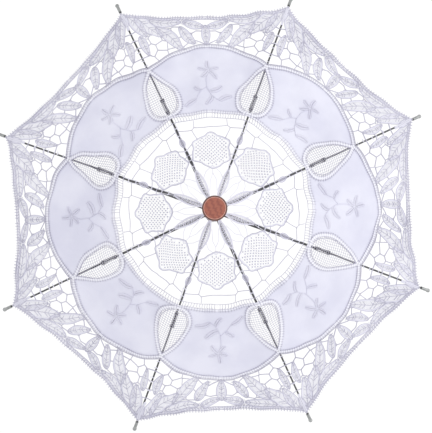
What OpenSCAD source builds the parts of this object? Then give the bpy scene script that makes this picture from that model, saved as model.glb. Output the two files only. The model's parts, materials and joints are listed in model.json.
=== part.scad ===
// Lace parasol, open: a turned wooden ferrule and handle on a wooden shaft, eight wire ribs with
// forked stretchers and a sliding runner, and a lace canopy in sixteen half panels that fold into
// pleats beside the ribs. The origin is the middle of the handle's end face and +Z runs up the shaft.
// Rib 1 points along +X, and the others follow counter-clockwise seen from above.

/* [Canopy] */
// Radius of the circle through the rib tips when open
open_radius = 300; // [240:1:380]
// Height of the crown pivots above the rib tips when open
canopy_drop = 120; // [80:1:160]
// Bare rib between the hem and the end of the tip
hem_setback = 20; // [14:1:40]
// How far the middle of each hem edge curves in from a straight line between the ribs
hem_hollow = 6; // [2:0.5:16]
// Thickness of the lace
cloth_t = 0.8; // [0.5:0.1:1.2]
// Start of a half panel, measured along its rib from the crown pivot
panel_start = 16; // [14:1:30]
// Angle, seen from the apex, that a half panel gives up beside its crease so that pleats can pass
pleat_play = 2.4; // [2.3:0.1:4]
// Radius of the flat cloth collar under the ferrule
collar_r = 11.5; // [10:0.5:13]

/* [Ribs] */
// Angle between a closed rib and the shaft
closed_angle = 3; // [2.5:0.5:6]
// Radius of the rib wire
rib_r = 1.1; // [0.9:0.05:1.5]
// How far the wire's centre line lies outside the line through its two pivots
wire_offset = 1.5; // [1.4:0.1:2.2]
// Thickness of the flat eye at the inner end of a rib
eye_t = 1.6; // [1.2:0.1:2]
// Radius of that eye
eye_r = 1.7; // [1.4:0.1:2]
// Length of the flattened inner end
eye_len = 8; // [7:0.5:12]
// Width of the boss that carries the stretcher's rivet
boss_t = 2.6; // [2.6:0.1:3.4]
// Radius of that boss
boss_r = 2.2; // [2:0.1:2.4]
// Radius of the rivet's shank
rivet_r = 0.75; // [0.6:0.05:0.9]
// Length of the metal tip, without its ball
tip_len = 12; // [10:0.5:16]
// Radius of the metal tip
tip_r = 2; // [1.9:0.1:2.6]
// Radius of the ball at its end
tip_ball_r = 2.6; // [2.4:0.1:3.4]

/* [Stretchers] */
// Distance from pivot to pivot, which is also the distance from the crown pivot to the rivet
stretcher_len = 148; // [130:1:160]
// Radius of the stretcher rod
stretcher_r = 1.1; // [0.9:0.05:1.3]
// Length of the fork that straddles the rib
fork_len = 14; // [13:0.5:20]
// Thickness of each fork ear
ear_t = 0.8; // [0.6:0.1:1.2]
// Radius of each fork ear
ear_r = 2.2; // [2:0.1:2.4]
// Radius of the cross pin at the inner end
cross_pin_r = 0.8; // [0.6:0.1:1]
// Length of that cross pin
cross_pin_len = 4.6; // [4:0.1:5]

/* [Crown and runner] */
// Radius of the circle through the pivots, in the crown and in the runner
pivot_r = 10; // [10:0.5:13]
// Radius of the wire that threads the rib eyes
crown_wire_r = 0.5; // [0.4:0.05:0.6]
// Height of the crown above its pivots
crown_above = 2.2; // [2:0.1:2.6]
// Depth of the crown's disc below its pivots
crown_below = 3.2; // [2.8:0.1:4]
// Rim of the crown and the runner outside their pivots
rim = 2.6; // [2.4:0.1:3.5]
// Wall of the crown's sleeve and the runner's tube
sleeve_wall = 2.5; // [2.4:0.1:2.8]
// Length of the crown's sleeve below its disc
crown_sleeve_len = 10; // [8:1:16]
// Height of the runner's disc above and below its pivots
runner_half = 2.6; // [2.4:0.1:4]
// Length of the runner's tube below its disc
runner_tube_len = 28; // [20:1:40]

/* [Shaft, handle and ferrule] */
// Radius of the wooden shaft
shaft_r = 4.5; // [3.8:0.1:5]
// Length of the handle
handle_len = 92; // [70:1:130]
// Radius of the handle's grip
handle_r = 9; // [7.5:0.1:12]
// Straight length of the grip
grip_len = 54; // [40:1:60]
// Radius of the handle's neck
neck_r = 6.4; // [6:0.1:7.2]
// Solid wood below the shaft's end in the handle
handle_floor = 22; // [12:1:30]
// Room between the handle and the closed runner
runner_room = 7; // [3:1:20]
// Height of the ferrule
ferrule_len = 54; // [40:1:80]
// Radius of the ferrule's head
ferrule_r = 13; // [11:0.5:18]
// Radius of the ferrule's waist
ferrule_waist_r = 6.6; // [6:0.1:8]
// Radius of the ferrule's foot
ferrule_foot_r = 9; // [8:0.1:10]
// Depth of the shaft in the ferrule
ferrule_bore_len = 24; // [15:1:35]
// Height of the straight band round the ferrule's head
head_band = 7; // [4:0.5:12]
// Chamfer round the ferrule's end face
head_chamfer = 2.2; // [0.8:0.1:2.5]

/* [Catches and pins] */
// How far a catch stands out of the shaft
catch_out = 1.2; // [0.8:0.1:1.4]
// Length of a catch along the shaft
catch_len = 14; // [10:1:20]
// Thickness of a catch
catch_t = 1.6; // [1.2:0.1:2]
// Radius of the crown pin and the stop pin
pin_r = 0.8; // [0.6:0.1:1]
// How far the stop pin stands out of the shaft
stop_out = 1.4; // [1:0.1:1.8]

/* [Clearances] */
// Radial clearance of a part that slides or turns on another
running_fit = 0.08; // [0.05:0.01:0.1]
// Radial clearance of a part that is glued or pressed into another
seat_fit = 0.02; // [0.01:0.01:0.03]
// Side clearance of a flat in its slot, and of a fork on its boss
slot_fit = 0.2; // [0.15:0.05:0.3]
// Free room round parts that pass each other
room = 0.3; // [0.2:0.05:0.4]

/* [Hidden] */
$fn = 48;
RIBS = 8;
RIB_STEP = 360 / RIBS;
HALF_STEP = RIB_STEP / 2;
LEFT = 1;
RIGHT = -1;
CUT = 1;            // how far a cutting shape runs past the face it opens
HEM_STEPS = 6;      // straight edges along the hem of a half panel
TURN_STEPS = 10;    // steps along each curve of a turned profile
LACE_LIFT = 0.35;   // gap between the rib wires and the lace

// Ribs: the angle from straight down when open, and the length from crown pivot to tip end
rib_open = atan2(open_radius - pivot_r, canopy_drop);
rib_len = norm([open_radius - pivot_r, canopy_drop]);
wire_end = rib_len - tip_ball_r - tip_len / 3;

// Heights, worked out upwards from the closed runner so that everything clears the handle
runner_closed_z = handle_len + runner_room + runner_tube_len + runner_half;
crown_z = runner_closed_z + 2 * stretcher_len * cos(closed_angle);
runner_z = crown_z - 2 * stretcher_len * cos(rib_open);
collar_z = crown_z + crown_above + seat_fit;
ferrule_z = collar_z + cloth_t + seat_fit;
shaft_top = ferrule_z + ferrule_bore_len;

// Canopy: the eight hinge lines lie just outside the wires and meet at the apex on the shaft's axis
hinge_offset = wire_offset + rib_r + LACE_LIFT + cloth_t / 2;
apex_back = (pivot_r + hinge_offset * cos(rib_open)) / sin(rib_open);
apex_z = crown_z + hinge_offset * sin(rib_open) + apex_back * cos(rib_open);
gore_half = asin(sin(rib_open) * sin(HALF_STEP));
gore_tilt = -atan(cos(rib_open) * tan(HALF_STEP));
hinge_gap = 1.5 * cloth_t;
hem_rib = apex_back + rib_len - hem_setback;
hem_half_chord = hem_rib * sin(gore_half);
hem_curve = (pow(hem_half_chord, 2) + pow(hem_hollow, 2)) / (2 * hem_hollow);
hem_centre = hem_rib * cos(gore_half) - hem_hollow + hem_curve;

// Slots
crown_slot_t = eye_t + 2 * slot_fit;
slot_inner = pivot_r - eye_r - room;
ear_in = max(boss_t / 2, rib_r) + slot_fit;
ear_out = ear_in + ear_t;
rod_slot_t = 2 * stretcher_r + 2 * room;
rod_flat_t = 2 * stretcher_r - slot_fit;
sleeve_r = shaft_r + sleeve_wall;
rim_r = pivot_r + rim;

// Catches: one below the open runner, one inside the closed runner, both between two stretchers
catch_travel = catch_out + slot_fit;
catch_root = 2.4;
slot_floor = catch_root - catch_travel - slot_fit;
catch_turn = HALF_STEP;
top_catch_z = runner_z - runner_half - runner_tube_len - room - catch_len / 2;
low_catch_z = runner_closed_z - runner_half - runner_tube_len / 2;
groove_r = shaft_r + catch_out + room;
groove_t = catch_t + 2 * slot_fit;
stop_z = runner_z + runner_half + room + pin_r;
crown_pin_z = crown_z - crown_below - crown_sleeve_len / 2;

function numbered(name) = [for (k = [1:RIBS]) str(name, "_", k)];
function sided(name) = [for (k = [1:RIBS]) for (s = ["left", "right"]) str(name, "_", k, "_", s)];

function ease(t) = t * t * (3 - 2 * t);
// Points of a turned curve from radius and height a to b
function turned(a, b) = [
    for (i = [0:TURN_STEPS]) let (t = i / TURN_STEPS) [a[0] + (b[0] - a[0]) * ease(t), a[1] + (b[1] - a[1]) * t]
];
// Distance from the apex to the hem, at an angle from the rib in the plane of the panel
function hem_at(angle) = let (off = gore_half - angle)
    hem_centre * cos(off) - sqrt(pow(hem_curve, 2) - pow(hem_centre * sin(off), 2));
function polar(r, angle) = [r * cos(angle), r * sin(angle)];

// At the crown pivot of rib k, with +X out along the rib and +Z out of the canopy
module at_rib(k) {
    rotate([0, 0, (k - 1) * RIB_STEP])
        translate([pivot_r, 0, crown_z])
            rotate([0, 90 - rib_open, 0])
                children();
}

// At the rivet of rib k, with +X along the stretcher to the runner
module at_stretcher(k) {
    at_rib(k)
        translate([stretcher_len, 0, 0])
            rotate([0, 2 * rib_open, 0])
                children();
}

// At the apex, with +X along the hinge line of rib k and XY in the plane of its panel on one side
module at_panel(k, side) {
    rotate([0, 0, (k - 1) * RIB_STEP])
        translate([0, 0, apex_z])
            rotate([0, 90 - rib_open, 0])
                rotate([side * gore_tilt, 0, 0])
                    children();
}

// A cylinder along Y, centred
module cross_rod(r, len) {
    rotate([90, 0, 0])
        cylinder(r = r, h = len, center = true);
}

// A cylinder along X between two distances
module along_rod(r, from, to) {
    translate([from, 0, 0])
        rotate([0, 90, 0])
            cylinder(r = r, h = to - from);
}

module handle() {
    foot = 5;
    foot_r = handle_r - 3;
    collar_out = 0.8;
    collar_low = handle_len - 4;
    collar_top = handle_len - 1.5;
    neck_low = handle_len - 6;
    color([0.62, 0.36, 0.24])
    rotate_extrude()
        polygon(concat(
            [[0, 0], [foot_r, 0]],
            [for (a = [-75:15:0]) [foot_r + (handle_r - foot_r) * cos(a), foot + foot * sin(a)]],
            turned([handle_r, foot + grip_len], [neck_r, neck_low]),
            [[neck_r + collar_out, collar_low], [neck_r + collar_out, collar_top], [neck_r, handle_len]],
            [[shaft_r + seat_fit, handle_len], [shaft_r + seat_fit, handle_floor], [0, handle_floor]]
        ));
}

module shaft() {
    color([0.66, 0.42, 0.28])
    difference() {
        translate([0, 0, handle_floor])
            cylinder(r = shaft_r, h = shaft_top - handle_floor);
        for (z = [top_catch_z, low_catch_z])
            rotate([0, 0, catch_turn])
                translate([slot_floor, -groove_t / 2, z - catch_len / 2 - room])
                    cube([shaft_r + CUT, groove_t, catch_len + 2 * room]);
        for (z = [stop_z, crown_pin_z])
            translate([0, 0, z])
                cross_rod(pin_r + seat_fit, 2 * shaft_r + 2 * CUT);
    }
}

module ferrule() {
    foot_h = 3;
    step_in = 0.8;
    step_up = 0.6;
    waist_h = 14;
    head_h = ferrule_len - head_band;
    color([0.67, 0.41, 0.33])
    translate([0, 0, ferrule_z])
        rotate_extrude()
            polygon(concat(
                [[shaft_r + seat_fit, 0]],
                [[ferrule_foot_r, 0], [ferrule_foot_r, foot_h]],
                turned([ferrule_foot_r - step_in, foot_h + step_up], [ferrule_waist_r, waist_h]),
                turned([ferrule_waist_r, waist_h + CUT], [ferrule_r, head_h]),
                [[ferrule_r, ferrule_len - head_chamfer], [ferrule_r - head_chamfer, ferrule_len]],
                [[0, ferrule_len], [0, ferrule_bore_len], [shaft_r + seat_fit, ferrule_bore_len]]
            ));
}

module crown() {
    color([0.55, 0.55, 0.57])
    translate([0, 0, crown_z])
    difference() {
        union() {
            translate([0, 0, -crown_below])
                cylinder(r = rim_r, h = crown_below + crown_above);
            translate([0, 0, -crown_below - crown_sleeve_len])
                cylinder(r = sleeve_r, h = crown_sleeve_len + CUT);
        }
        translate([0, 0, -crown_below - crown_sleeve_len - CUT])
            cylinder(r = shaft_r + seat_fit, h = crown_below + crown_above + crown_sleeve_len + 2 * CUT);
        for (k = [1:RIBS])
            rotate([0, 0, (k - 1) * RIB_STEP])
                translate([slot_inner, -crown_slot_t / 2, -crown_below - CUT])
                    cube([rim + pivot_r, crown_slot_t, crown_below + crown_above + 2 * CUT]);
        rotate_extrude()
            translate([pivot_r - crown_wire_r - seat_fit, -crown_wire_r - seat_fit])
                square([rim_r, 2 * (crown_wire_r + seat_fit)]);
        translate([0, 0, crown_pin_z - crown_z])
            cross_rod(pin_r + seat_fit, 2 * sleeve_r + 2 * CUT);
    }
}

module crown_wire() {
    color([0.72, 0.62, 0.4])
    translate([0, 0, crown_z])
        rotate_extrude()
            translate([pivot_r, 0])
                circle(r = crown_wire_r);
}

module crown_pin() {
    color([0.6, 0.6, 0.62])
    translate([0, 0, crown_pin_z])
        cross_rod(pin_r, 2 * sleeve_r);
}

module canopy_collar() {
    color([0.93, 0.93, 0.96])
    translate([0, 0, collar_z])
        rotate_extrude()
            translate([shaft_r + seat_fit, 0])
                square([collar_r - shaft_r - seat_fit, cloth_t]);
}

module runner() {
    lip_h = 2;
    lip_out = 0.6;
    pocket = cross_pin_r + room;
    bottom = -runner_half - runner_tube_len;
    color([0.6, 0.6, 0.62])
    translate([0, 0, runner_z])
    difference() {
        union() {
            translate([0, 0, -runner_half])
                cylinder(r = rim_r, h = 2 * runner_half);
            translate([0, 0, bottom])
                cylinder(r = sleeve_r, h = runner_tube_len + CUT);
            translate([0, 0, bottom])
                cylinder(r = sleeve_r + lip_out, h = lip_h);
        }
        translate([0, 0, bottom - CUT])
            cylinder(r = shaft_r + running_fit, h = 2 * runner_half + runner_tube_len + 2 * CUT);
        rotate([0, 0, catch_turn])
            translate([0, -groove_t / 2, bottom - CUT])
                cube([groove_r, groove_t, 2 * runner_half + runner_tube_len + 2 * CUT]);
        for (k = [1:RIBS])
            rotate([0, 0, (k - 1) * RIB_STEP]) {
                translate([slot_inner, -rod_slot_t / 2, -runner_half - CUT])
                    cube([rim_r, rod_slot_t, 2 * runner_half + 2 * CUT]);
                translate([pivot_r - pocket, -cross_pin_len / 2 - room, -runner_half - CUT])
                    cube([2 * pocket, cross_pin_len + 2 * room, runner_half + CUT + pocket]);
            }
    }
}

module stop_pin() {
    color([0.6, 0.6, 0.62])
    translate([0, 0, stop_z])
        cross_rod(pin_r, 2 * (shaft_r + stop_out));
}

// A leaf in a slot of the shaft, with a nose that slopes away from the runner it holds
module catch_leaf(z, flip) {
    color([0.7, 0.7, 0.72])
    rotate([0, 0, catch_turn])
        translate([0, 0, z])
            rotate([90, 0, 0])
                linear_extrude(height = catch_t, center = true)
                    polygon([
                        [catch_root, -catch_len / 2],
                        [shaft_r - slot_fit, -catch_len / 2],
                        [shaft_r + (flip ? catch_out : -slot_fit), -flip * (catch_len / 2 - CUT)],
                        [shaft_r + (flip ? -slot_fit : catch_out), (1 - flip) * (catch_len / 2 - CUT)],
                        [shaft_r - slot_fit, catch_len / 2],
                        [catch_root, catch_len / 2]
                    ]);
}

module top_catch() {
    catch_leaf(top_catch_z, 0);
}

module bottom_catch() {
    catch_leaf(low_catch_z, 1);
}

module rib(k) {
    wire_top = wire_offset + rib_r;
    wire_low = wire_offset - rib_r;
    wire_start = eye_len - 2;
    color([0.27, 0.27, 0.29])
    at_rib(k)
    difference() {
        union() {
            cross_rod(eye_r, eye_t);
            rotate([90, 0, 0])
                linear_extrude(height = eye_t, center = true)
                    polygon([[0, -eye_r], [eye_len / 2, -eye_r / 2], [eye_len, wire_low],
                             [eye_len, wire_top], [wire_start, wire_top], [0, eye_r]]);
            translate([0, 0, wire_offset])
                along_rod(rib_r, wire_start, wire_end);
            translate([stretcher_len, 0, 0])
                cross_rod(boss_r, boss_t);
        }
        cross_rod(crown_wire_r + running_fit, eye_t + 2 * CUT);
        translate([stretcher_len, 0, 0])
            cross_rod(rivet_r + seat_fit, boss_t + 2 * CUT);
    }
}

module tip(k) {
    ball_x = rib_len - tip_ball_r;
    mouth = ball_x - tip_len;
    color([0.62, 0.62, 0.64])
    at_rib(k)
        translate([0, 0, wire_offset])
            difference() {
                union() {
                    along_rod(tip_r, mouth, ball_x);
                    translate([ball_x, 0, 0])
                        sphere(r = tip_ball_r);
                }
                along_rod(rib_r + seat_fit, mouth - CUT, wire_end + seat_fit);
            }
}

module rivet(k) {
    head_r = 2 * rivet_r;
    head_t = 0.5;
    color([0.66, 0.66, 0.68])
    at_rib(k)
        translate([stretcher_len, 0, 0]) {
            cross_rod(rivet_r, 2 * (ear_out + running_fit));
            for (side = [LEFT, RIGHT])
                translate([0, side * (ear_out + running_fit + head_t / 2), 0])
                    cross_rod(head_r, head_t);
        }
}

module stretcher(k) {
    web = 4;
    flat_len = 7;
    flat_h = 2.4;
    web_bite = 0.25;
    color([0.31, 0.31, 0.33])
    at_stretcher(k)
    difference() {
        union() {
            for (side = [LEFT, RIGHT])
                translate([0, side * (ear_in + ear_out) / 2, 0]) {
                    cross_rod(ear_r, ear_t);
                    translate([0, -ear_t / 2, -stretcher_r])
                        cube([fork_len + web, ear_t, 2 * stretcher_r]);
                }
            translate([fork_len, -ear_in - web_bite, -stretcher_r])
                cube([web, 2 * (ear_in + web_bite), 2 * stretcher_r]);
            along_rod(stretcher_r, fork_len + web - CUT, stretcher_len - flat_len + CUT);
            translate([stretcher_len - flat_len, -rod_flat_t / 2, -flat_h / 2])
                cube([flat_len, rod_flat_t, flat_h]);
            translate([stretcher_len, 0, 0])
                cross_rod(flat_h / 2, rod_flat_t);
            translate([stretcher_len, 0, 0])
                cross_rod(cross_pin_r, cross_pin_len);
        }
        cross_rod(rivet_r + running_fit, 2 * ear_out + 2 * CUT);
    }
}

module panel(k, side) {
    inner = apex_back + panel_start;
    edge = gore_half - pleat_play;
    first = asin(hinge_gap / hem_rib);
    hem = [for (i = [0:HEM_STEPS]) let (a = first + (edge - first) * i / HEM_STEPS) polar(hem_at(a), a)];
    outline = concat([[inner, hinge_gap]], hem, [polar(inner, edge)]);
    color([0.95, 0.95, 0.98])
    at_panel(k, side)
        linear_extrude(height = cloth_t, center = true)
            polygon([for (p = outline) [p[0], side * p[1]]]);
}

handle();
shaft();
ferrule();
crown();
crown_wire();
crown_pin();
canopy_collar();
runner();
stop_pin();
top_catch();
bottom_catch();
for (k = [1:RIBS]) {
    rib(k);
    tip(k);
    rivet(k);
    stretcher(k);
    panel(k, LEFT);
    panel(k, RIGHT);
}
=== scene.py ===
"""Lace parasol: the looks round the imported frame.

The canopy is drawn flat, in millimetres, as half a gore: X runs out along the rib from the apex where
all eight hinge lines meet, Y runs away from the rib towards the crease in the middle of the gore, and Z
points out of the canopy. Sixteen copies are then laid on the open parasol, left and right of each rib.
"""
import json
import math

import bmesh
import bpy
import numpy as np
from mathutils import Matrix, Vector

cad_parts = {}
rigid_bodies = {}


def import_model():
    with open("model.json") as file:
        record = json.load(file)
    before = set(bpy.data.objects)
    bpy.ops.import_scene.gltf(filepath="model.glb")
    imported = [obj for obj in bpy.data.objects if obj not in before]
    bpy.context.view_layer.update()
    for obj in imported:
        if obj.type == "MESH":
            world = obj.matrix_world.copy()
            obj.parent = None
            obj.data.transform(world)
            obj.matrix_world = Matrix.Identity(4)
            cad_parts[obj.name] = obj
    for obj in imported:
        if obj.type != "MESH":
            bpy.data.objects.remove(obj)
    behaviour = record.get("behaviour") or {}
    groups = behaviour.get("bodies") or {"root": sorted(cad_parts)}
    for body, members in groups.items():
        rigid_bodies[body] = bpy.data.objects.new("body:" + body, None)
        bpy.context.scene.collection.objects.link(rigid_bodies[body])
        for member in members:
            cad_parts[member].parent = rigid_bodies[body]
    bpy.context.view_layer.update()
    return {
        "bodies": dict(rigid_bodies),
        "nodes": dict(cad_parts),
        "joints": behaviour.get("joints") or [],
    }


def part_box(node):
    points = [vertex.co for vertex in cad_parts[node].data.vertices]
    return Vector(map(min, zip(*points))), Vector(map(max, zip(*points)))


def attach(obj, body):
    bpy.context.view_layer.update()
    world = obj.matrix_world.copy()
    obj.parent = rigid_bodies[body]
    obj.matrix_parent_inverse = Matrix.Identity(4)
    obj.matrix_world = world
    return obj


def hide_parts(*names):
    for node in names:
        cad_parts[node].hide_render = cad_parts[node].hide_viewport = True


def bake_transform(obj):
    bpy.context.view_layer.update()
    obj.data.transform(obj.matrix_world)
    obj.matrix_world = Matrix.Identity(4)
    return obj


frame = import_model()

MM = 0.001
SEED = 7
SIDES = {"left": 1, "right": -1}

# ---------------------------------------------------------------- what the frame says
joints = {j["name"]: j for j in frame["joints"]}
RIBS = sum(1 for b in frame["bodies"] if b.startswith("rib_"))
STEP = 2 * math.pi / RIBS
APEX = np.array(joints["panel_1_left_fold"]["pos_m"])
RIB_DIR = np.array(joints["panel_1_left_fold"]["axis"])
OPEN = math.atan2(RIB_DIR[0], -RIB_DIR[2])
HALF_GORE = math.asin(math.sin(OPEN) * math.sin(STEP / 2))
TILT = -math.atan(math.cos(OPEN) * math.tan(STEP / 2))
OUTWARD = np.array([math.cos(OPEN), 0, math.sin(OPEN)])
ACROSS = np.array([0, math.cos(TILT), 0]) + math.sin(TILT) * OUTWARD
UP = np.cross(RIB_DIR, ACROSS)
CREASE = np.array([math.cos(HALF_GORE), math.sin(HALF_GORE)])
OFF_CREASE = np.array([-CREASE[1], CREASE[0]])
TIP_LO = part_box("tip_1")[0]

# ---------------------------------------------------------------- the lace pattern, in millimetres
START = 13.0                # inner edge of the lace, at the cloth collar
HEM = 306.0                 # hem at the rib, from the apex
HEM_HOLLOW = 9.0            # how far the hem curves in at the crease
BAND_IN = 129.0             # inner edge of the cotton band
BAND_OUT_RIB = 205.0        # outer edge of the band where it meets the rib
BAND_OUT_CREASE = 227.0     # outer edge of the band in the middle of a gore
DROP_IN, DROP_OUT = 132.5, 203.0   # round and pointed ends of the net drop on each rib
DROP_HALF = 20.0            # half its widest width
MEDAL_AT, MEDAL_R = 76.0, 22.0     # middle and mean radius of the net medallion
MEDAL_LOBES, MEDAL_WAVE = 6, 1.7
COMB = 7.5                  # depth of the comb of stitches inside the cotton band
OUTER_CELL, MIDDLE_CELL = 16.0, 16.5   # size of the uneven cells outside the band and inside it
MIDDLE_START = 58.0         # where the middle's cells begin, from the apex
DROP_MESH = 2.9             # spacing of the threads in a net drop
KNOT_GAP = 4.4              # spacing of the knots in a medallion
SAG = 2.2                   # how far the lace hangs in between a rib and the crease, which stays taut
LOOSE = ((38, 1.1), (38, 1.1), (30, 0.35))   # wavelength and size of the handmade unevenness, per axis
CORD_R, THREAD_R = 0.5, 0.2
TAPE_THICK = 0.7


def polar(r, angle):
    """A flat point at a distance from the apex and an angle from the rib, in degrees."""
    a = math.radians(angle)
    return np.array([r * math.cos(a), r * math.sin(a)])


HALF_DEG = math.degrees(HALF_GORE)


def arc_through(rib_r, crease_r):
    """A function giving the distance from the apex, at an angle from the rib, of the circular arc that
    meets the rib at rib_r and crosses the crease squarely at crease_r."""
    half_chord = rib_r * math.sin(HALF_GORE)
    rise = crease_r - rib_r * math.cos(HALF_GORE)
    radius = (half_chord ** 2 + rise ** 2) / (2 * rise)
    centre = crease_r - radius

    def at(angle):
        off = math.radians(HALF_DEG - angle)
        root = math.sqrt(max(radius ** 2 - (centre * math.sin(off)) ** 2, 0))
        return centre * math.cos(off) + math.copysign(root, radius)
    return at


hem_at = arc_through(HEM, HEM * math.cos(HALF_GORE) - HEM_HOLLOW)


def hem_points(count, inset):
    """Points along the hem, or inside it, from rib to crease."""
    return np.array([polar(hem_at(a) - inset, a) for a in np.linspace(0, HALF_DEG, count)])


def ring_points(r, count):
    return np.array([polar(r, a) for a in np.linspace(0, HALF_DEG, count)])


def scallop_points(count, inset=0.0):
    """The band's outer edge, a near half circle about a point on the crease, from rib to crease."""
    half_chord = BAND_OUT_RIB * math.sin(HALF_GORE)
    rise = BAND_OUT_CREASE - BAND_OUT_RIB * math.cos(HALF_GORE)
    radius = (half_chord ** 2 + rise ** 2) / (2 * rise)
    centre = CREASE * (BAND_OUT_CREASE - radius)
    reach = math.asin(half_chord / radius)
    angles = HALF_GORE - np.linspace(reach, 0, count)
    return centre + (radius - inset) * np.stack([np.cos(angles), np.sin(angles)], 1)


def drop_points(count, grow=0.0):
    """Half outline of the net drop, from its round inner end on the rib to its outer point."""
    t = (1 - np.cos(np.linspace(0, math.pi, count))) / 2
    shape = np.sqrt(t) * (1 - t)
    wide = (DROP_HALF + grow) * shape / (math.sqrt(1 / 3) * 2 / 3)
    return np.stack([DROP_IN - grow + (DROP_OUT - DROP_IN + 2 * grow) * t, wide], 1)


def medal_points(count, grow=0.0):
    """The medallion's wavy outline, closed, round a point on the crease."""
    a = np.linspace(0, 2 * math.pi, count, endpoint=False)
    r = MEDAL_R + grow + MEDAL_WAVE * np.cos(MEDAL_LOBES * a) + 0.6 * np.cos(2 * MEDAL_LOBES * a + 1)
    centre = CREASE * MEDAL_AT
    return centre + np.outer(r * np.cos(a), CREASE) + np.outer(r * np.sin(a), OFF_CREASE)


# ---------------------------------------------------------------- flat mesh building
class Cloth:
    """Collects quads in flat millimetres."""

    def __init__(self):
        self.points, self.quads, self.count = [], [], 0

    def add(self, points, quads):
        self.points.append(np.asarray(points, float))
        self.quads.append(np.asarray(quads, int) + self.count)
        self.count += len(points)

    def arrays(self):
        return np.concatenate(self.points), np.concatenate(self.quads)


def round_section(r, sides=6, flat=1.0):
    a = np.arange(sides) * 2 * math.pi / sides + math.pi / sides
    return np.stack([r * np.cos(a), flat * r * np.sin(a)], 1)


def tape_section(width, thick):
    """A woven tape: flat below, with a corded edge on each side and a slightly sunken middle."""
    w, t = width / 2, thick / 2
    return np.array([[-w, -t], [w, -t], [w, t], [0.55 * w, 0.35 * t], [-0.55 * w, 0.35 * t], [-w, t]])


def pillow_section(width, high):
    """A padded stitch: flat below and rounded above."""
    w, shoulder = width / 2, 0.8 * high
    return np.array([[-w, 0], [w, 0], [0.6 * w, shoulder], [0, high], [-0.6 * w, shoulder],
                     [-w, 0.2 * high]])


def sweep(cloth, path, section, z=0.0, closed=False, scale=None):
    """Sweeps a section with an even number of points along a flat path, closed at its ends."""
    path = np.asarray(path, float)
    n, s = len(path), len(section)
    if closed:
        ahead = np.roll(path, -1, 0) - np.roll(path, 1, 0)
    else:
        ahead = np.gradient(path, axis=0)
    ahead /= np.maximum(np.linalg.norm(ahead, axis=1, keepdims=True), 1e-9)
    side = np.stack([-ahead[:, 1], ahead[:, 0]], 1)
    scale = np.ones(n) if scale is None else np.asarray(scale, float)
    height = np.broadcast_to(np.asarray(z, float), (n,))
    offs = section[None, :, 0] * scale[:, None]
    points = np.empty((n, s, 3))
    points[:, :, 0] = path[:, None, 0] + side[:, None, 0] * offs
    points[:, :, 1] = path[:, None, 1] + side[:, None, 1] * offs
    points[:, :, 2] = height[:, None] + section[None, :, 1] * np.maximum(scale, 0.3)[:, None]
    rows = np.arange(n if closed else n - 1)[:, None]
    cols = np.arange(s)[None, :]
    nxt, nc = (rows + 1) % n, (cols + 1) % s
    quads = np.stack([rows * s + cols, nxt * s + cols, nxt * s + nc, rows * s + nc], -1).reshape(-1, 4)
    if not closed:
        last = (n - 1) * s
        caps = []
        for i in range(1, s - 1, 2):
            caps.append([0, i, i + 1, (i + 2) % s])
            caps.append([last, last + (i + 2) % s, last + i + 1, last + i])
        quads = np.concatenate([quads, caps])
    cloth.add(points.reshape(-1, 3), quads)


def resample(path, gap, closed=False):
    """The same path with points no further apart than gap."""
    path = np.asarray(path, float)
    if closed:
        path = np.concatenate([path, path[:1]])
    length = np.concatenate([[0], np.cumsum(np.linalg.norm(np.diff(path, axis=0), axis=1))])
    count = max(2, int(math.ceil(length[-1] / gap)) + 1)
    at = np.linspace(0, length[-1], count)
    out = np.stack([np.interp(at, length, path[:, i]) for i in (0, 1)], 1)
    return out[:-1] if closed else out


def cord(cloth, path, r=CORD_R, z=0.0, gap=3.0, closed=False):
    sweep(cloth, resample(path, gap, closed), round_section(r), z, closed)


def thread(cloth, a, b, z, r):
    sweep(cloth, resample([a, b], 4.0), round_section(r, 4), z)


def tape(cloth, path, width, z, gap=2.0, closed=False):
    sweep(cloth, resample(path, gap, closed), tape_section(width, TAPE_THICK), z, closed)


def axes(angle):
    """Unit vectors along an angle in degrees and square to it."""
    a = math.radians(angle)
    return np.array([math.cos(a), math.sin(a)]), np.array([-math.sin(a), math.cos(a)])


def normals(path):
    """Unit normals of a flat path."""
    ahead = np.gradient(path, axis=0)
    return np.stack([-ahead[:, 1], ahead[:, 0]], 1) / np.linalg.norm(ahead, axis=1, keepdims=True)


def inside_spans(a, b, outline):
    """The stretches of the line from a to b that lie inside a closed outline, as pairs of shares."""
    a, b = np.asarray(a, float), np.asarray(b, float)
    p, q = outline, np.roll(outline, -1, 0)
    d, e = b - a, q - p
    cross = d[0] * e[:, 1] - d[1] * e[:, 0]
    ok = np.abs(cross) > 1e-12
    w = p - a
    t = np.where(ok, (w[:, 0] * e[:, 1] - w[:, 1] * e[:, 0]) / np.where(ok, cross, 1), -1)
    s = np.where(ok, (w[:, 0] * d[1] - w[:, 1] * d[0]) / np.where(ok, cross, 1), -1)
    hits = np.sort(t[ok & (s >= 0) & (s < 1)])
    return [(hits[i], hits[i + 1]) for i in range(0, len(hits) - 1, 2)]


def net(cloth, outline, spacing, angle, r=THREAD_R, z=0.0, both=True):
    """A net of threads inside a closed outline, one way or both ways."""
    outline = np.asarray(outline, float)
    middle = outline.mean(0)
    reach = np.linalg.norm(outline - middle, axis=1).max()
    for turn in ((0, 90) if both else (0,)):
        along, side = axes(angle + turn)
        for i in range(-int(reach / spacing), int(reach / spacing) + 1):
            base = middle + side * i * spacing
            p, q = base - along * reach * 1.1, base + along * reach * 1.1
            for lo, hi in inside_spans(p, q, outline):
                if (hi - lo) * reach * 2.2 > spacing * 0.4:
                    thread(cloth, p + (q - p) * lo, p + (q - p) * hi, z + (0.1 if turn else -0.1), r)


def in_outline(point, outline):
    """Whether a long line through the point has it within one of its stretches inside the outline."""
    spans = inside_spans(point, point + np.array([997.0, 3.1]), outline)
    return any(lo < 0 < hi for lo, hi in spans)


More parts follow.
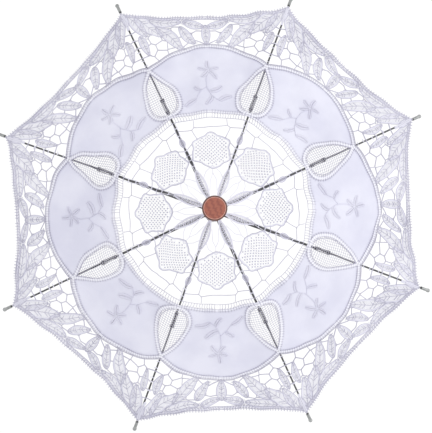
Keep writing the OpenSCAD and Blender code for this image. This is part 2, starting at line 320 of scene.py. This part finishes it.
def dots(cloth, outline, spacing, angle, r):
    """Small raised knots on a square pattern inside a closed outline."""
    middle = outline.mean(0)
    reach = np.linalg.norm(outline - middle, axis=1).max()
    along, side = axes(angle)
    n = int(reach / spacing) + 1
    for i in range(-n, n + 1):
        for j in range(-n, n + 1):
            p = middle + along * i * spacing + side * j * spacing
            if in_outline(p, outline):
                path = [p - along * r, p - along * r * 0.4, p + along * r * 0.4, p + along * r]
                sweep(cloth, path, round_section(r, 6, 0.6), 0.1, scale=[0.35, 1, 1, 0.35])


def leaf_outline(a, b, width, count=16, fat=0.45, bend=0.0):
    """A closed leaf from a to b, widest at the share fat, bent sideways by bend."""
    a, b = np.asarray(a, float), np.asarray(b, float)
    along = b - a
    side = np.array([-along[1], along[0]]) / np.linalg.norm(along)
    t = (1 - np.cos(np.linspace(0, math.pi, count))) / 2
    power = math.log(0.5) / math.log(fat)
    wide = width / 2 * np.maximum(np.sin(math.pi * t ** power), 0) ** 0.62
    spine = a + np.outer(t, along) + np.outer(bend * np.sin(math.pi * t), side)
    up, down = spine + np.outer(wide, side), spine - np.outer(wide, side)
    return np.concatenate([up, down[-2:0:-1]]), spine


def lace_leaf(lace, cords, a, b, width, bend=0.0, tape_w=2.0, fat=0.45, fill=1.5):
    """A leaf of folded tape edged with cord, with a vein and a fine net inside. Returns its outline."""
    outline, spine = leaf_outline(a, b, width, bend=bend, fat=fat)
    inner, _ = leaf_outline(a, b, width - tape_w, bend=bend, fat=fat)
    tape(lace, inner, tape_w, 0.2, closed=True, gap=1.8)
    cord(cords, outline, 0.4, 0.35, gap=2.0, closed=True)
    along = np.asarray(b, float) - np.asarray(a, float)
    net(lace, inner, fill, math.degrees(math.atan2(along[1], along[0])) + 45, 0.24, 0.0)
    cord(cords, spine, 0.34, 0.35)
    for t in np.linspace(0.12, 0.88, 8):
        i = int(t * (len(spine) - 1))
        ahead = spine[i + 1] - spine[i - 1]
        ahead /= np.linalg.norm(ahead)
        side = np.array([-ahead[1], ahead[0]])
        reach = (width / 2 - tape_w) * 0.75
        for sign in (-1, 1):
            thread(cords, spine[i], spine[i] + (ahead * 0.9 + side * sign) * reach, 0.3, 0.34)
    return outline


# ---------------------------------------------------------------- brides: a net of uneven cells
def clip_cell(cell, point, normal):
    """The part of a convex cell on the side of a line that its normal points away from."""
    out = []
    for i in range(len(cell)):
        p, q = cell[i], cell[(i + 1) % len(cell)]
        dp, dq = np.dot(p - point, normal), np.dot(q - point, normal)
        if dp <= 0:
            out.append(p)
        if dp * dq < 0:
            out.append(p + (q - p) * dp / (dp - dq))
    return out


def mirror_over(points, through, direction):
    n = np.array([-direction[1], direction[0]])
    return points - 2 * np.outer((points - through) @ n, n)


NEAREST = 28                # seeds looked at round a cell


def cells_of(seeds, box, mirrors):
    """Voronoi cells of the seeds, with their mirror images as neighbours so that the net meets its
    neighbour's squarely on each mirror line."""
    others = [seeds] + [mirror_over(seeds, *m) for m in mirrors]
    every = np.concatenate(others)
    cells = []
    for s in seeds:
        cell = [np.array(p) for p in box]
        order = np.argsort(np.linalg.norm(every - s, axis=1))
        for o in every[order[1:NEAREST]]:
            if np.linalg.norm(o - s) > 1e-6:
                cell = clip_cell(cell, (s + o) / 2, o - s)
            if len(cell) < 3:
                break
        cells.append(cell)
    return cells


def centroid(cell):
    c = np.array(cell)
    x, y, x1, y1 = c[:, 0], c[:, 1], np.roll(c[:, 0], -1), np.roll(c[:, 1], -1)
    k = x * y1 - x1 * y
    area = k.sum() / 2
    if abs(area) < 1e-9:
        return c.mean(0)
    return np.array([((x + x1) * k).sum(), ((y + y1) * k).sum()]) / (6 * area)


def brides(cloth, region, spacing, seed, avoid=(), r=0.62, z=-0.1):
    """A net of uneven cells that fills a region between the rib, the crease and two curves."""
    rng = np.random.default_rng(seed)
    low, high = region.min(0), region.max(0)
    box = [low - 9, [high[0] + 9, low[1] - 9], high + 9, [low[0] - 9, high[1] + 9]]
    mirrors = [(np.zeros(2), np.array([1.0, 0.0])), (np.zeros(2), CREASE)]
    seeds = []
    for row, x in enumerate(np.arange(low[0], high[0], spacing * 0.87)):
        for y in np.arange(low[1] + (row % 2) * spacing / 2, high[1], spacing):
            p = np.array([x, y]) + rng.uniform(-0.3, 0.3, 2) * spacing
            if in_outline(p, region):
                seeds.append(p)
    seeds = np.array(seeds)
    for _ in range(2):
        cells = cells_of(seeds, box, mirrors)
        moved = np.array([centroid(c) for c in cells])
        keep = np.array([in_outline(m, region) for m in moved])
        seeds = np.where(keep[:, None], moved, seeds)
    done = set()
    for cell in cells_of(seeds, box, mirrors):
        for p, q in zip(cell, cell[1:] + cell[:1]):
            key = tuple(np.round((p + q) / 2, 2))
            if key in done or np.linalg.norm(p - q) < 0.4:
                continue
            done.add(key)
            if any(abs(np.dot((p + q) / 2, n)) < 0.05 for n in ((0, 1), OFF_CREASE)):
                continue  # an edge along a mirror line belongs to no cell of the net
            for lo, hi in spans_between(p, q, region, avoid):
                cord(cloth, [p + (q - p) * lo, p + (q - p) * hi], r, z, 4.0)


def spans_between(p, q, region, avoid):
    """The stretches of p to q inside the region and outside the outlines to avoid."""
    spans, start = [], None
    for t in np.linspace(0, 1, 13):
        at = p + (q - p) * t
        good = in_outline(at, region) and not any(in_outline(at, o) for o in avoid)
        if good and start is None:
            start = t
        if not good and start is not None:
            spans.append((start, t))
            start = None
    if start is not None:
        spans.append((start, 1.0))
    return [(lo, hi) for lo, hi in spans if (hi - lo) * np.linalg.norm(q - p) > 1.0]


# ---------------------------------------------------------------- the parts of half a gore
def ladder(cords, inner, outer, gap, r):
    """Two cords joined by a zigzag of bars, as along the hem and the band's outer edge."""
    cord(cords, inner, 0.5, 0.1, 2.5)
    cord(cords, outer, 0.5, 0.1, 2.5)
    a, b = resample(inner, gap), resample(outer, gap)
    n = min(len(a), len(b))
    a = a[np.linspace(0, len(a) - 1, n).round().astype(int)]
    b = b[np.linspace(0, len(b) - 1, n).round().astype(int)]
    for i in range(n - 1):
        thread(cords, a[i], b[i], 0.05, r)
        thread(cords, b[i], a[i + 1], 0.0, r * 0.8)


def centre_lace(lace, cords):
    """Leaves along the rib round the ferrule, the rib's two side cords and the small lozenges."""
    lace_leaf(lace, lace, (START, 0), (52, 0), 9.5, tape_w=1.6, fat=0.55, fill=1.9)
    lace_leaf(lace, cords, (88, 0), (100, 0), 6.0, tape_w=1.3, fill=1.1)
    cord(lace, [(52, 0.6), (64, 1.9), (80, 1.9), (89, 0.8)], 0.4)
    cord(lace, [(99, 0.8), (108, 1.7), (BAND_IN - COMB + 0.5, 1.9)], 0.4)
    cord(lace, [(START, 0.8), (START, START * math.tan(HALF_GORE))], 0.5)
    cord(lace, [polar(24, HALF_DEG * 0.55), polar(38, HALF_DEG * 0.75), CREASE * 46], 0.36)
    cord(lace, [CREASE * 46, CREASE * (MEDAL_AT - MEDAL_R)], 0.36)
    cord(lace, [(41, 4.0), polar(49, HALF_DEG * 0.55), CREASE * (MEDAL_AT - MEDAL_R + 2)], 0.36)


def rib_ties(lace):
    """Stitches over the rib that hold the lace down on it, at uneven gaps."""
    for x in (30, 41, 58, 67, 82, 104, 114, 213, 222, 236, 243, 257):
        cord(lace, [(x, 0), (x + 1.4, 2.2)], 0.55, 0.35)
    tape(lace, [(HEM - 30, 0), (HEM - 1, 0)], 3.4, 0.5)


def medallion(lace, cords):
    """The net medallion in the middle of the gore, with its corded edge and knots."""
    tape(lace, medal_points(90), 1.5, 0.25, closed=True, gap=1.6)
    cord(cords, medal_points(90, 0.7), 0.42, 0.35, gap=2.0, closed=True)
    inner = medal_points(90, -0.6)
    net(lace, inner, 2.2, HALF_DEG, 0.1)
    knotted = medal_points(90, -2.2)
    dots(cords, knotted, KNOT_GAP, HALF_DEG, 0.9)
    dots(cords, knotted + polar(3.11, HALF_DEG + 45), KNOT_GAP, HALF_DEG, 0.9)


def middle_brides(cords):
    """The open net that joins the medallion to the ribs and to the band."""
    region = np.concatenate([ring_points(MIDDLE_START, 12), ring_points(BAND_IN - COMB, 16)[::-1]])
    brides(cords, region, MIDDLE_CELL, SEED + 1, [medal_points(60)], r=0.42, z=0.0)


def picots(cords, path, gap, start, end, r, z):
    """Short stitches across a path, from one distance beside it to another."""
    path = resample(path, gap)
    side = normals(path)
    for p, n in zip(path[1:-1], side[1:-1]):
        thread(cords, p + n * start, p + n * end, z, r)


def corded_tape(edging, cords, path, width, z):
    """A white tape with a thin cord along each side and stitches over both edges."""
    path = resample(path, 2.0)
    tape(edging, path, width, z)
    side = normals(path)
    for sign in (-1, 1):
        cord(cords, path + side * sign * width / 2, 0.36, z, 2.5)
        picots(cords, path, 3.2, sign * (width / 2 - 1.2), sign * (width / 2 + 1.7), 0.36, z + 0.2)


def band_edges(edging, cords):
    """The comb of stitches inside the band and the tapes along its edges and round each net drop."""
    cord(cords, ring_points(BAND_IN - COMB, 24), 0.34, 0.1, 2.5)
    picots(cords, ring_points(BAND_IN - 4.7, 24), 3.4, -2.8, 3.0, 0.38, 0.15)
    corded_tape(edging, cords, ring_points(BAND_IN + 0.4, 24), 2.6, 0.35)
    corded_tape(edging, cords, scallop_points(40, -0.2), 3.0, 0.35)
    ladder(cords, scallop_points(40, -1.8), scallop_points(40, -4.0), 2.4, 0.26)
    corded_tape(edging, cords, drop_points(44, 0.8), 3.4, 0.4)
    cord(cords, drop_points(44, -2.8), 0.34, 0.2)


def drop_net(cords):
    """The net drop on the rib, with threads along it and across."""
    half = drop_points(40, -0.6)
    closed = np.concatenate([half, half[::-1] * [1, -1]])
    net(cords, closed, DROP_MESH, 0, 0.27, both=False)
    net(cords, closed, DROP_MESH, 90, 0.27, 0.12, both=False)


def outer_leaves(lace, cords):
    """The tape leaves round each tip and the motif in the middle of the hem. Returns their outlines."""
    return [lace_leaf(lace, cords, *leaf) for leaf in (
        (polar(301, 0.8), polar(258, 3.6), 14.5, -1.0),
        (polar(262, 1.9), polar(229, 2.6), 9.5, 1.0),
        (polar(296, 2.6), polar(254, 8.2), 18.0, 1.5),
        (polar(271, 7.4), polar(227, 13.2), 15.5, -1.5),
        (polar(283, 6.0), polar(270, 14.2), 15.0, 1.2),
        (polar(263, 13.4), polar(233, 17.2), 12.0, 1.0),
        (polar(271, 14.6), polar(259, HALF_DEG - 0.4), 12.5, 1.0),
        (CREASE * 262, CREASE * 231, 12.0),
    )]


def hem(lace, cords):
    """The corded hem with its stitches, and the leaf that covers the rib beside its tip."""
    ladder(cords, hem_points(40, inset=5.2), hem_points(40, inset=0.8), 3.6, 0.45)
    cord(lace, hem_points(40, inset=3.0), 0.7, 0.0)
    picots(cords, hem_points(40, inset=0.8), 3.6, -2.4, 2.6, 0.6, 0.3)
    lace_leaf(lace, cords, (HEM - 24, 0), (HEM + 1, 0), 8.0, tape_w=2.4, fill=1.0)


def outer_region():
    """Closed outline of the lace between the band's outer edge and the hem."""
    low = scallop_points(30, -2.6)
    high = hem_points(30, inset=5.0)
    return np.concatenate([low, high[::-1]])


def satin_leaf(cloth, a, b, width, bend=0.0):
    """A leaf or petal in two rows of satin stitch that meet in a furrow along its middle."""
    _, spine = leaf_outline(a, b, width, count=12, bend=bend)
    swell = 0.2 + 0.8 * np.sin(np.linspace(0.1, math.pi - 0.1, len(spine)))
    side = normals(spine) * (width / 4 * swell)[:, None]
    for sign in (-1, 1):
        sweep(cloth, spine + side * sign, pillow_section(width / 2, 0.7), 0.1, scale=swell)


def embroidery(cloth, side):
    """Raised stitches on the band: a five-petalled flower on a curved stem with leaves."""
    def at(along, off):
        return CREASE * along - OFF_CREASE * off * side

    flower = at(191, 1.5)
    for angle, length in ((5, 13), (72, 11.5), (140, 13), (212, 14), (288, 12)):
        d = polar(1, angle * side + HALF_DEG)
        satin_leaf(cloth, flower + d * 1.3, flower + d * length * 1.1, 5.4, bend=0.8 * side)
    cord(cloth, [at(188, 1), at(177, -2.5), at(164, -1.5), at(153, 3.5), at(146, 11)], 0.42, 0.25, 2.0)
    cord(cloth, [at(166, -1.5), at(158, -9), at(147, -15)], 0.36, 0.2, 2.0)
    satin_leaf(cloth, at(158, 1), at(168, 17), 7.0, bend=-1.5 * side)
    satin_leaf(cloth, at(152, 4), at(140, -4), 5.2, bend=1.2 * side)
    satin_leaf(cloth, at(146, 11), at(151, 28), 7.0, bend=2.0 * side)
    satin_leaf(cloth, at(160, -8), at(168, -18), 5.2, bend=1.0 * side)
    satin_leaf(cloth, at(149, -14), at(140, -28), 6.4, bend=-1.2 * side)


# ---------------------------------------------------------------- the cotton band
def coons(bottom, top, left, right):
    """A grid of flat points between four boundary curves."""
    nu, nv = len(bottom), len(left)
    u, v = np.linspace(0, 1, nu)[None, :, None], np.linspace(0, 1, nv)[:, None, None]
    ruled_v = (1 - v) * bottom[None] + v * top[None]
    ruled_u = (1 - u) * left[:, None] + u * right[:, None]
    corners = ((1 - u) * (1 - v) * bottom[0] + u * (1 - v) * bottom[-1]
               + (1 - u) * v * top[0] + u * v * top[-1])
    return ruled_v + ruled_u - corners


def cotton_grid():
    """The band without its net drop, as a grid of flat points."""
    nu, nv = 34, 40
    bottom = ring_points(BAND_IN, nu)
    top = scallop_points(nu)
    drop = drop_points(60)
    left = np.concatenate([[(BAND_IN, 0.0)], drop, [(BAND_OUT_RIB, 0.0)]])
    length = np.concatenate([[0], np.cumsum(np.linalg.norm(np.diff(left, axis=0), axis=1))])
    at = np.linspace(0, length[-1], nv)
    left = np.stack([np.interp(at, length, left[:, i]) for i in (0, 1)], 1)
    right = np.outer(np.linspace(BAND_IN, BAND_OUT_CREASE, nv), CREASE)
    return coons(bottom, top, left, right)


def cotton(cloth):
    """The band as one thin sheet."""
    grid = cotton_grid()
    nv, nu, _ = grid.shape
    flat = np.column_stack([grid.reshape(-1, 2), np.zeros(nv * nu)])
    rows, cols = np.meshgrid(np.arange(nv - 1), np.arange(nu - 1), indexing="ij")
    a = (rows * nu + cols).ravel()
    cloth.add(flat, np.stack([a, a + nu, a + nu + 1, a + 1], 1))


# ---------------------------------------------------------------- from flat to the open parasol
def wander(xy, wavelength, seed):
    """Smooth waves over the plan of the parasol, about -1 to 1, the same on both sides of a seam."""
    rng = np.random.default_rng(SEED + seed)
    total = np.zeros(len(xy))
    for _ in range(6):
        a = rng.uniform(0, 2 * math.pi)
        k = 2 * math.pi / (wavelength * rng.uniform(0.7, 1.5))
        start = rng.uniform(0, 2 * math.pi)
        total += np.sin(k * (xy[:, 0] * math.cos(a) + xy[:, 1] * math.sin(a)) + start)
    return total / 3


def lay(points, rib, side):
    """Flat millimetres to metres in the parasol's frame, sagged and made a little uneven."""
    p = points.copy()
    reach = np.linalg.norm(p[:, :2], axis=1)
    angle = np.arctan2(np.abs(p[:, 1]), p[:, 0])
    swell = np.sin(np.clip(reach / HEM, 0, 1) * math.pi) ** 0.8
    share = np.clip(angle / HALF_GORE, 0, 1)
    p[:, 2] -= SAG * swell * np.sin(share * math.pi) ** 2
    world = (np.outer(p[:, 0], RIB_DIR) + np.outer(p[:, 1], ACROSS) + np.outer(p[:, 2], UP)) * MM + APEX
    world[:, 1] *= SIDES[side]
    a = (rib - 1) * STEP
    c, s = math.cos(a), math.sin(a)
    world[:, :2] = world[:, :2] @ np.array([[c, s], [-s, c]])
    plan = world[:, :2] / MM
    hold = np.clip(reach / 60, 0, 1) * (1 - 0.75 * np.clip(share * 6 - 5, 0, 1)) * MM
    for i, (wave, loose) in enumerate(LOOSE):
        world[:, i] += loose * hold * wander(plan, wave, i)
    return world


def cut_half(points, quads):
    """Cuts flat quads at the rib line and the crease."""
    mesh = bpy.data.meshes.new("flat")
    mesh.from_pydata(points.tolist(), [], quads.tolist())
    bm = bmesh.new()
    bm.from_mesh(mesh)
    bpy.data.meshes.remove(mesh)
    for normal in ((0, -1, 0), (*OFF_CREASE, 0)):
        geom = bm.verts[:] + bm.edges[:] + bm.faces[:]
        bmesh.ops.bisect_plane(bm, geom=geom, dist=1e-5, plane_co=(0, 0, 0), plane_no=normal,
                               clear_outer=True)
    bm.verts.index_update()
    flat = np.array([v.co[:] for v in bm.verts])
    faces = [[v.index for v in f.verts] for f in bm.faces]
    bm.free()
    return flat, faces


def in_scene(name, data):
    obj = bpy.data.objects.new(name, data)
    bpy.context.scene.collection.objects.link(obj)
    return obj


def smooth_object(name, mesh, material):
    mesh.polygons.foreach_set("use_smooth", [True] * len(mesh.polygons))
    mesh.materials.append(material)
    return in_scene(name, mesh)


def make_piece(name, flat, faces, rib, side, material):
    """One piece of a half gore, laid on the parasol."""
    world = lay(flat, rib, side)
    if SIDES[side] < 0:
        faces = [f[::-1] for f in faces]
    mesh = bpy.data.meshes.new(name)
    mesh.from_pydata(world.tolist(), [], faces)
    obj = smooth_object(name, mesh, material)
    a = (rib - 1) * STEP
    w = ACROSS * [1, SIDES[side], 1]
    c, s = math.cos(a), math.sin(a)
    w = np.array([w[0] * c - w[1] * s, w[0] * s + w[1] * c, w[2]])
    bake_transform(obj)
    return obj


# ---------------------------------------------------------------- materials
def new_material(name, colour, rough, **sockets):
    m = bpy.data.materials.new(name)
    m.use_nodes = True
    shader = m.node_tree.nodes["Principled BSDF"]
    shader.inputs["Base Color"].default_value = (*colour, 1)
    shader.inputs["Roughness"].default_value = rough
    for socket, value in sockets.items():
        shader.inputs[socket.replace("_", " ")].default_value = value
    return m, m.node_tree, shader


def grey(value):
    return (value,) * 3


def node_of(tree, kind, **values):
    """A new node with some of its sockets or settings given."""
    n = tree.nodes.new(kind)
    for k, v in values.items():
        if k in n.inputs:
            n.inputs[k].default_value = v
        else:
            setattr(n, k, v)
    return n


def ramp(tree, source, stops):
    r = tree.nodes.new("ShaderNodeValToRGB")
    elements = r.color_ramp.elements
    while len(elements) < len(stops):
        elements.new(0.5)
    for e, (at, colour) in zip(elements, stops):
        e.position = at
        e.color = (*colour, 1)
    tree.links.new(source, r.inputs[0])
    return r.outputs[0]


def bump(tree, shader, source, strength, distance):
    b = node_of(tree, "ShaderNodeBump", Strength=strength, Distance=distance)
    tree.links.new(source, b.inputs["Height"])
    tree.links.new(b.outputs[0], shader.inputs["Normal"])


def position(tree, scale):
    """Object position, stretched, for textures that hold still on a piece."""
    coords = tree.nodes.new("ShaderNodeTexCoord")
    mapping = node_of(tree, "ShaderNodeMapping", Scale=scale)
    tree.links.new(coords.outputs["Object"], mapping.inputs["Vector"])
    return mapping.outputs[0]


def cloth_material(name, light, dark, weave, rough):
    """White cotton with a visible weave, a slow change of tone and a soft sheen."""
    m, tree, shader = new_material(name, light, rough, Sheen_Weight=0.25, Sheen_Roughness=0.5)
    slow = node_of(tree, "ShaderNodeTexNoise", Scale=22.0, Detail=3.0)
    tree.links.new(position(tree, (1, 1, 1)), slow.inputs["Vector"])
    tone = ramp(tree, slow.outputs[0], [(0.35, dark), (0.65, light)])
    tree.links.new(tone, shader.inputs["Base Color"])
    across = node_of(tree, "ShaderNodeTexWave", Scale=weave, Distortion=0.6)
    along = node_of(tree, "ShaderNodeTexWave", Scale=weave, Distortion=0.6, bands_direction="Y")
    for w in (across, along):
        tree.links.new(position(tree, (1, 1, 1)), w.inputs["Vector"])
    both = node_of(tree, "ShaderNodeMath", operation="MAXIMUM")
    tree.links.new(across.outputs[1], both.inputs[0])
    tree.links.new(along.outputs[1], both.inputs[1])
    bump(tree, shader, both.outputs[0], 0.35, 0.0004)
    return m


def wood_material(name, light, mid, dark, grain=(60, 60, 9)):
    """Stained and varnished turned wood, with grain along Z."""
    m, tree, shader = new_material(name, mid, 0.38, Coat_Weight=0.35, Coat_Roughness=0.25)
    where = position(tree, grain)
    warp = node_of(tree, "ShaderNodeTexNoise", Scale=3.0, Detail=4.0)
    tree.links.new(where, warp.inputs["Vector"])
    rings = node_of(tree, "ShaderNodeTexWave", Scale=1.6, Distortion=7.0, Detail=3.0)
    tree.links.new(where, rings.inputs["Vector"])
    mix = node_of(tree, "ShaderNodeMath", operation="MULTIPLY")
    tree.links.new(warp.outputs[0], mix.inputs[0])
    tree.links.new(rings.outputs[1], mix.inputs[1])
    colour = ramp(tree, mix.outputs[0], [(0.05, dark), (0.3, mid), (0.75, light)])
    tree.links.new(colour, shader.inputs["Base Color"])
    pores = node_of(tree, "ShaderNodeTexNoise", Scale=40.0, Detail=2.0)
    tree.links.new(where, pores.inputs["Vector"])
    rough = ramp(tree, pores.outputs[0], [(0.4, grey(0.3)), (0.7, grey(0.5))])
    tree.links.new(rough, shader.inputs["Roughness"])
    bump(tree, shader, pores.outputs[0], 0.12, 0.0003)
    return m


def paint_head_shade_and_highlight(m, top, chamfer, dark):
    """Paints shade on the turned edge round a top face, darkening most of it, and paints a highlight as
    a bright ring along its inner edge.
    """
    tree = m.node_tree
    shader = tree.nodes["Principled BSDF"]
    coords = tree.nodes.new("ShaderNodeTexCoord")
    split = tree.nodes.new("ShaderNodeSeparateXYZ")
    tree.links.new(coords.outputs["Object"], split.inputs[0])
    share = node_of(tree, "ShaderNodeMapRange")
    share.inputs["From Min"].default_value = top - chamfer
    share.inputs["From Max"].default_value = top
    tree.links.new(split.outputs["Z"], share.inputs["Value"])
    painted_highlight = (0.3, 0.22, 0.19)
    # painted shade: most of the chamfer is darkened where it turns away from the light
    tone = ramp(tree, share.outputs[0],
                [(0.0, grey(1)), (0.06, grey(dark)), (0.6, grey(dark)), (0.75, grey(1))])
    # painted highlight: a bright ring added near the top of the chamfer, where it catches the light
    ring = ramp(tree, share.outputs[0], [(0.7, grey(0)), (0.8, painted_highlight), (0.97, painted_highlight), (0.99, grey(0))])
    shade = node_of(tree, "ShaderNodeVectorMath", operation="MULTIPLY_ADD")
    tree.links.new(shader.inputs["Base Color"].links[0].from_socket, shade.inputs[0])
    tree.links.new(tone, shade.inputs[1])
    tree.links.new(ring, shade.inputs[2])
    tree.links.new(shade.outputs[0], shader.inputs["Base Color"])


def metal_material(name, light, dark, rough):
    """Drawn or turned metal with duller patches."""
    m, tree, shader = new_material(name, light, rough, Metallic=1.0)
    patches = node_of(tree, "ShaderNodeTexNoise", Scale=180.0, Detail=4.0)
    tree.links.new(position(tree, (1, 1, 1)), patches.inputs["Vector"])
    tone = ramp(tree, patches.outputs[0], [(0.35, dark), (0.65, light)])
    tree.links.new(tone, shader.inputs["Base Color"])
    spread = ramp(tree, patches.outputs[0], [(0.3, grey(rough * 0.75)), (0.7, grey(rough * 1.3))])
    tree.links.new(spread, shader.inputs["Roughness"])
    bump(tree, shader, patches.outputs[0], 0.08, 0.0002)
    return m


LACE = cloth_material("lace thread", (0.78, 0.775, 0.87), (0.70, 0.695, 0.80), 420.0, 0.85)
# painted shade: the cords are the same white thread as the lace, coloured darker for the shade along
# and under the rounded cords
CORD_PAINTED_SHADE = cloth_material("lace cord", (0.56, 0.55, 0.66), (0.46, 0.45, 0.56), 420.0, 0.85)
TAPE = cloth_material("tape", (0.88, 0.88, 0.95), (0.82, 0.82, 0.91), 520.0, 0.85)
COTTON = cloth_material("cotton", (0.735, 0.735, 0.84), (0.655, 0.655, 0.775), 260.0, 0.9)
STITCH = cloth_material("satin stitch", (0.69, 0.685, 0.80), (0.60, 0.595, 0.72), 520.0, 0.6)
FERRULE_WOOD = wood_material("ferrule wood", (0.365, 0.107, 0.066), (0.325, 0.092, 0.056),
                             (0.255, 0.066, 0.044), (35, 150, 9))
HEAD_CHAMFER = 2.2 * MM     # the turned edge of the ferrule's head
# paints shade on the ferrule head's chamfer and a highlight ring along its inner edge
paint_head_shade_and_highlight(FERRULE_WOOD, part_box("ferrule")[1].z, HEAD_CHAMFER, 0.3)
HANDLE_WOOD = wood_material("handle wood", (0.48, 0.19, 0.11), (0.36, 0.125, 0.07), (0.22, 0.07, 0.04))
SHAFT_WOOD = wood_material("shaft wood", (0.52, 0.24, 0.13), (0.42, 0.17, 0.09), (0.28, 0.1, 0.055))
WIRE = metal_material("dark rib wire", (0.15, 0.15, 0.155), (0.06, 0.06, 0.065), 0.42)
TIP_METAL = metal_material("tip metal", (0.42, 0.43, 0.43), (0.28, 0.29, 0.29), 0.38)
STEEL = metal_material("steel", (0.62, 0.62, 0.63), (0.5, 0.5, 0.51), 0.3)
BRASS = metal_material("brass wire", (0.66, 0.48, 0.2), (0.52, 0.36, 0.14), 0.33)

NODE_MATERIALS = {
    "handle": HANDLE_WOOD, "shaft": SHAFT_WOOD, "ferrule": FERRULE_WOOD, "crown": STEEL,
    "crown_wire": BRASS, "crown_pin": STEEL, "stop_pin": STEEL, "runner": STEEL,
    "top_catch": STEEL, "bottom_catch": STEEL, "rib": WIRE, "stretcher": WIRE, "tip": TIP_METAL,
    "rivet": STEEL,
}
for node, obj in frame["nodes"].items():
    look = NODE_MATERIALS.get(node) or NODE_MATERIALS.get(node.split("_")[0])
    if look:
        obj.data.materials.clear()
        obj.data.materials.append(look)


# ---------------------------------------------------------------- build the canopy
def half_gore(side):
    """Flat meshes of half a gore: the cotton band, its white tapes, the lace, its cords and the
    embroidery."""
    band = Cloth()
    cotton(band)
    edging, lace, cords, stitch = (Cloth() for _ in range(4))
    centre_lace(lace, cords)
    rib_ties(lace)
    medallion(lace, cords)
    middle_brides(cords)
    band_edges(edging, cords)
    drop_net(cords)
    leaves = outer_leaves(lace, cords)
    hem(lace, cords)
    brides(cords, outer_region(), OUTER_CELL, SEED, leaves)
    embroidery(stitch, side)
    sewn = {"edging": edging, "lace": lace, "cords": cords, "stitch": stitch}
    points, quads = band.arrays()
    return {"cotton": (points, quads.tolist()), **{k: cut_half(*v.arrays()) for k, v in sewn.items()}}


LOOKS = {"cotton": COTTON, "edging": TAPE, "lace": LACE, "cords": CORD_PAINTED_SHADE, "stitch": STITCH}
for side in SIDES:
    flat = half_gore(SIDES[side])
    for rib in range(1, RIBS + 1):
        made = {
            part: make_piece(f"{part}_{rib}_{side}", *flat[part], rib, side, look)
            for part, look in LOOKS.items()
        }
        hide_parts(f"panel_{rib}_{side}")


def collar():
    """The gathered cloth between the crown and the ferrule, as one pleated disc."""
    lo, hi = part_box("canopy_collar")
    outer, inner = hi.x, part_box("shaft")[1].x
    middle = (lo.z + hi.z) / 2
    rings, turns, pleats = 6, 192, 32
    high, half_thick = 0.28 * MM, 0.14 * MM     # of a pleat and of the cloth
    bm = bmesh.new()
    grid = []
    for layer in (1, -1):
        rows = []
        for i in range(rings):
            t = i / (rings - 1)
            row = []
            for j in range(turns):
                a = 2 * math.pi * j / turns
                r = inner + (outer - inner) * t
                z = middle + high * t * math.sin(pleats * a) + layer * half_thick
                row.append(bm.verts.new((r * math.cos(a), r * math.sin(a), z)))
            rows.append(row)
        grid.append(rows)
    for layer, rows in enumerate(grid):
        for i in range(rings - 1):
            for j in range(turns):
                k = (j + 1) % turns
                face = [rows[i][j], rows[i + 1][j], rows[i + 1][k], rows[i][k]]
                bm.faces.new(face if layer == 0 else face[::-1])
    for i, flip in ((0, False), (rings - 1, True)):
        for j in range(turns):
            k = (j + 1) % turns
            face = [grid[0][i][j], grid[0][i][k], grid[1][i][k], grid[1][i][j]]
            bm.faces.new(face[::-1] if flip else face)
    mesh = bpy.data.meshes.new("gathered_collar")
    bm.to_mesh(mesh)
    bm.free()
    obj = smooth_object("gathered_collar", mesh, LACE)
    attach(obj, "frame")
    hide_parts("canopy_collar")


collar()


# ---------------------------------------------------------------- floor, light and camera
def studio():
    """A pale floor, a white surround and two soft lights aimed at the parasol's middle."""
    floor_drop = 1.3        # the parasol is held up at hand height
    middle = Vector((0, 0, 0.35))
    bpy.ops.mesh.primitive_plane_add(size=16, location=(0, 0, -floor_drop))
    floor = bpy.context.object
    floor.name = "floor"
    floor.data.materials.append(new_material("pale floor", grey(0.96), 0.9)[0])
    bpy.context.scene.view_settings.view_transform = "Standard"
    world = bpy.data.worlds.new("studio")
    bpy.context.scene.world = world
    world.use_nodes = True
    surround = world.node_tree.nodes["Background"]
    surround.inputs["Color"].default_value = (1, 1, 1, 1)
    surround.inputs["Strength"].default_value = 1.02
    lights = (("key", Vector((1.8, -0.5, 1.5)), 1.2, 11), ("fill", Vector((-1.4, 0.9, 1.6)), 2.0, 2))
    for name, place, size, power in lights:
        light = bpy.data.lights.new(name, "AREA")
        light.size = size
        light.energy = power
        lamp = in_scene(name, light)
        lamp.location = place
        lamp.rotation_mode = "QUATERNION"
        lamp.rotation_quaternion = (middle - place).to_track_quat("-Z", "Y")


def camera():
    """Almost straight above the ferrule, a little to one side of the shaft's axis."""
    above_tips = 0.787          # height of the camera over the rib tips
    up_turn = math.radians(65)  # from rib 1 to the top of the picture
    right = Vector((math.sin(up_turn), -math.cos(up_turn), 0))
    up = Vector((math.cos(up_turn), math.sin(up_turn), 0))
    tips = Vector((0, 0, TIP_LO.z))
    place = tips + Vector((0, 0, above_tips)) - right * 0.006 - up * 0.019
    aim = tips + right * 0.0034 - up * 0.0054
    data = bpy.data.cameras.new("camera")
    data.lens = 50
    cam = in_scene("camera", data)
    back = (place - aim).normalized()
    side = up.cross(back).normalized()
    top = back.cross(side)
    cam.matrix_world = Matrix((
        (side.x, top.x, back.x, place.x),
        (side.y, top.y, back.y, place.y),
        (side.z, top.z, back.z, place.z),
        (0, 0, 0, 1),
    ))
    bpy.context.scene.camera = cam


studio()
camera()
